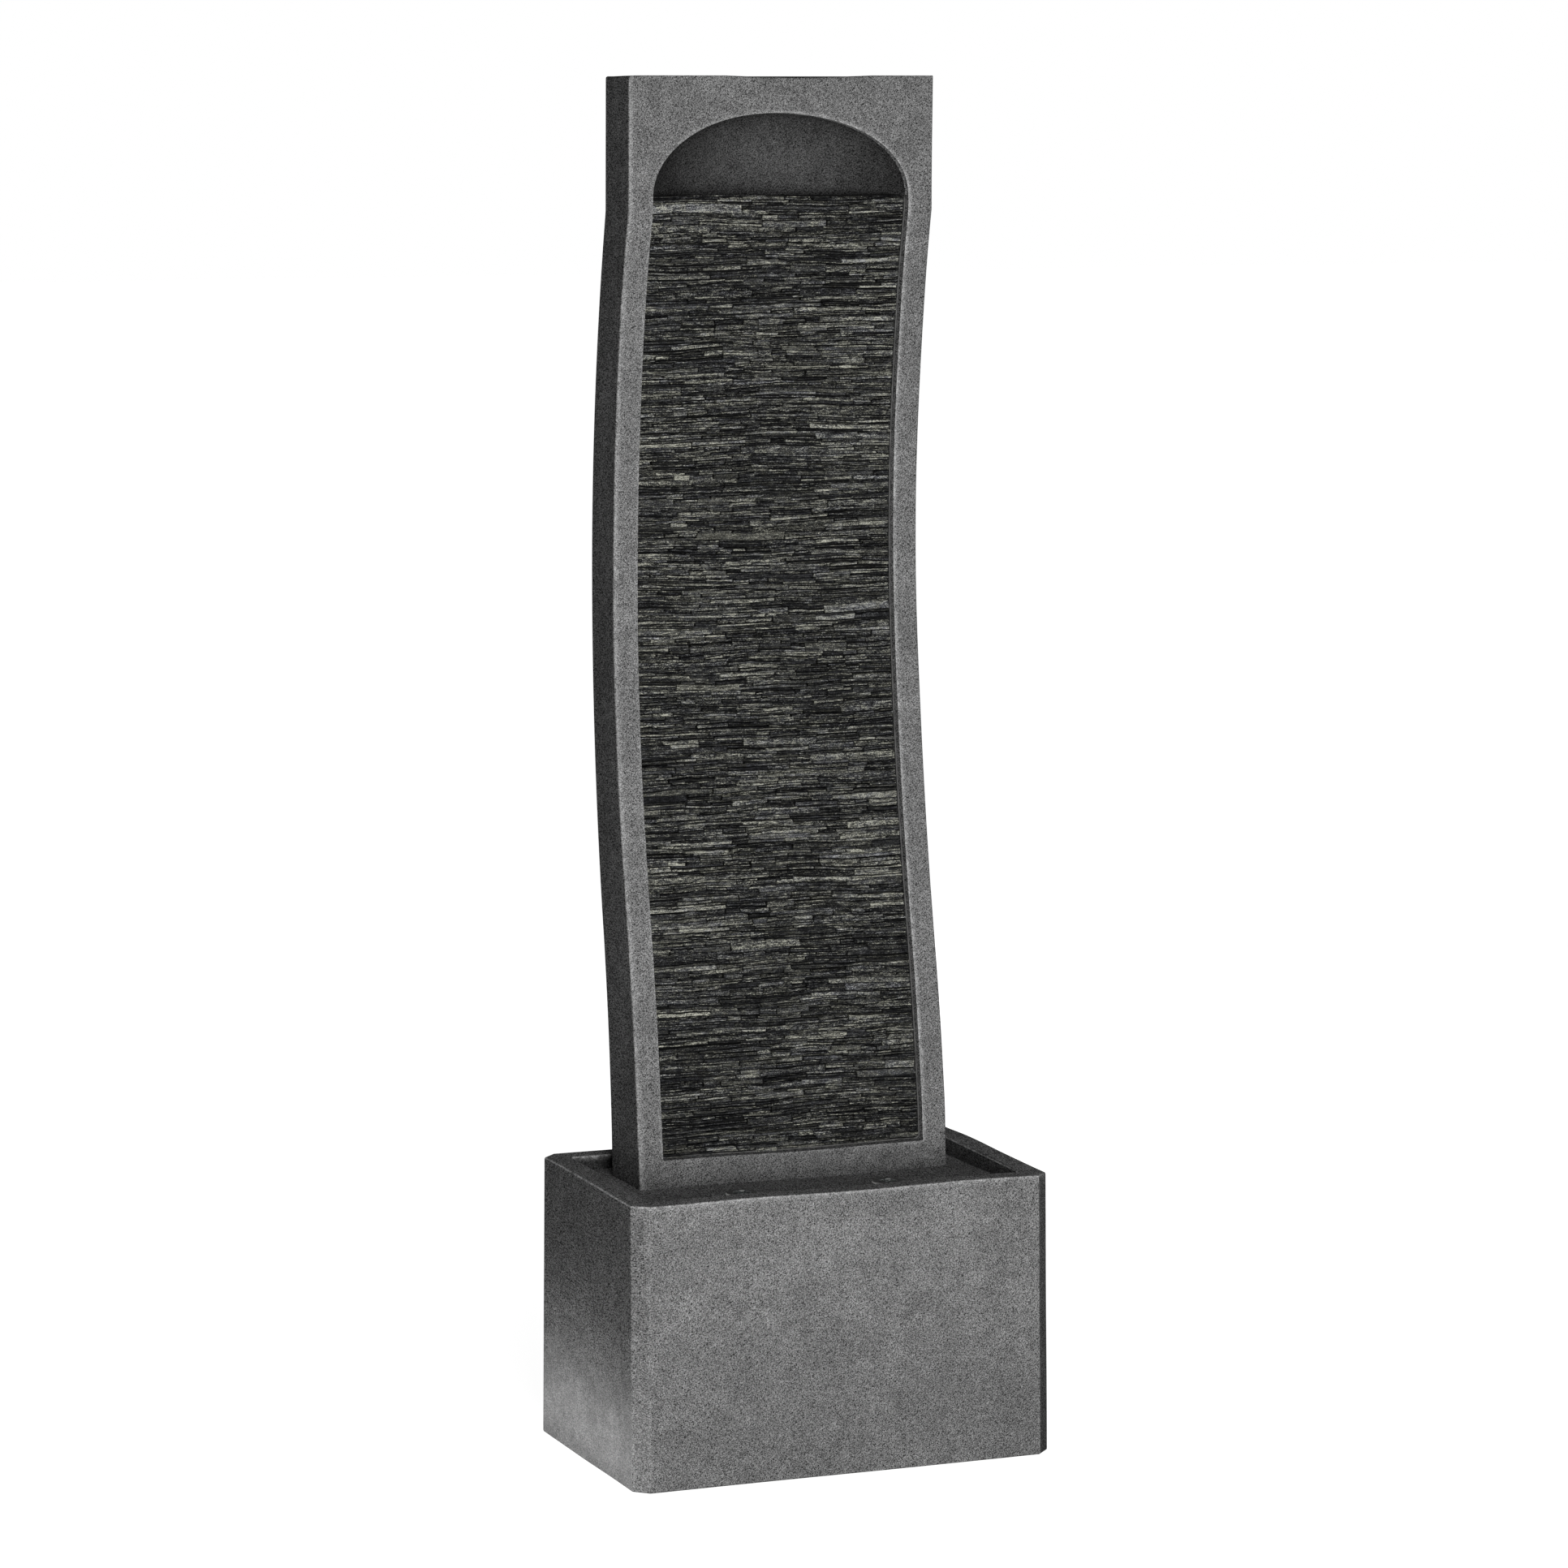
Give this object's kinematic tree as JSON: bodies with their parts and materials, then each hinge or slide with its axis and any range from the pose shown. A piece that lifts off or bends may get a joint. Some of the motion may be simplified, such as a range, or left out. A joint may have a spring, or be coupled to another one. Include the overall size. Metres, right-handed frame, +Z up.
{
  "type": "garden wall fountain",
  "caption": "Tall bowed fountain: a cast tower frames stacked slate below an arched niche and stands in a deep rectangular basin with a sunken lit deck.",
  "frame": {"origin": "on the ground under the middle of the basin", "axes": "+Z up; the slate and the arch face -Y; +X is to the right for someone who looks at the slate"},
  "size_m": [0.595, 0.383, 1.83],
  "materials": {
    "cast_stone": "matt grey granite look, fine light and dark grain",
    "slate": "split, dark grey with paler streaks",
    "sealant": "matt grey bead",
    "rubber_seal": "matt black",
    "grey_pipe": "satin grey",
    "black_plastic": "satin black",
    "black_cable": "matt black",
    "black_hose": "satin black",
    "stainless": "brushed",
    "clear_lens": "clear, polished",
    "lamp_board": "white board with a yellow emitter",
    "core_steel": "stacked sheet, varnished",
    "copper": "enamelled winding",
    "ferrite": "dark grey magnet",
    "white_ceramic": "ground",
    "blue_sponge": "open foam"
  },
  "bodies": {
    "fountain": {"basin_shell": "cast_stone", "deck_tray": "cast_stone", "deck_gasket": "rubber_seal", "deck_posts": "grey_pipe", "inlet_box": "black_plastic", "inlet_nut": "black_plastic", "inlet_gasket": "rubber_seal", "lamp_ring_left": "stainless", "lamp_ring_right": "stainless", "lamp_lens_left": "clear_lens", "lamp_lens_right": "clear_lens", "lamp_gaskets": "rubber_seal", "lamp_housings": "black_plastic", "lamp_boards": "lamp_board", "lamp_lead_left": "black_cable", "lamp_lead_right": "black_cable", "pump_body": "black_plastic", "pump_core": "core_steel", "pump_coil": "copper", "pump_chamber": "black_plastic", "pump_outlet": "black_plastic", "pump_shaft": "white_ceramic", "pump_bushes": "rubber_seal", "pump_feet": "rubber_seal", "pump_lead": "black_cable", "tower_front": "cast_stone", "tower_back_cover": "cast_stone", "door_gasket": "rubber_seal", "hinge_pins": "stainless", "wall_tie": "stainless", "wall_tie_screws": "stainless", "cover_screws": "stainless", "niche_bowl": "cast_stone", "water_trough": "black_plastic", "spreader_pipe": "grey_pipe", "spreader_caps": "grey_pipe", "trough_fitting": "black_plastic", "riser_hose": "black_hose", "hose_clips": "black_plastic", "slate_backer": "black_plastic", "slate_sealant": "sealant", "slate_panel_1": "slate", "slate_panel_2": "slate", "slate_panel_3": "slate", "slate_panel_4": "slate", "slate_panel_5": "slate", "slate_panel_6": "slate", "slate_panel_7": "slate", "slate_panel_8": "slate", "tower_bolts": "stainless", "tower_washers": "stainless", "tower_nuts": "black_plastic"},
    "door": {"access_door": "cast_stone"},
    "latch": {"door_latch": "stainless"},
    "rotor": {"pump_rotor": "ferrite"},
    "intake": {"intake_cover": "black_plastic", "intake_sponge": "blue_sponge"},
    "dial": {"flow_dial": "black_plastic"},
    "bung": {"drain_bung": "rubber_seal"}
  },
  "joints": [
    {"name": "door_hinge", "type": "hinge", "parent": "fountain", "child": "door", "pos_m": [0, 0.12903, 0.594], "axis": [1, 0, 0], "range_deg": [0, 100]},
    {"name": "latch_turn", "type": "hinge", "parent": "door", "child": "latch", "pos_m": [0, 0.10916, 0.436], "axis": [0, 1, 0], "range_deg": [0, 90]},
    {"name": "rotor_spin", "type": "hinge", "parent": "fountain", "child": "rotor", "pos_m": [0, 0.05, 0.048], "axis": [0, 1, 0], "continuous": true},
    {"name": "intake_slide", "type": "slide", "parent": "fountain", "child": "intake", "axis": [0, -1, 0], "range_m": [0, 0.03]},
    {"name": "dial_turn", "type": "hinge", "parent": "intake", "child": "dial", "pos_m": [0, 0.016, 0.048], "axis": [0, 1, 0], "range_deg": [0, 90]},
    {"name": "bung_pull", "type": "slide", "parent": "fountain", "child": "bung", "axis": [0, 1, 0], "range_m": [0, 0.025]}
  ]
}
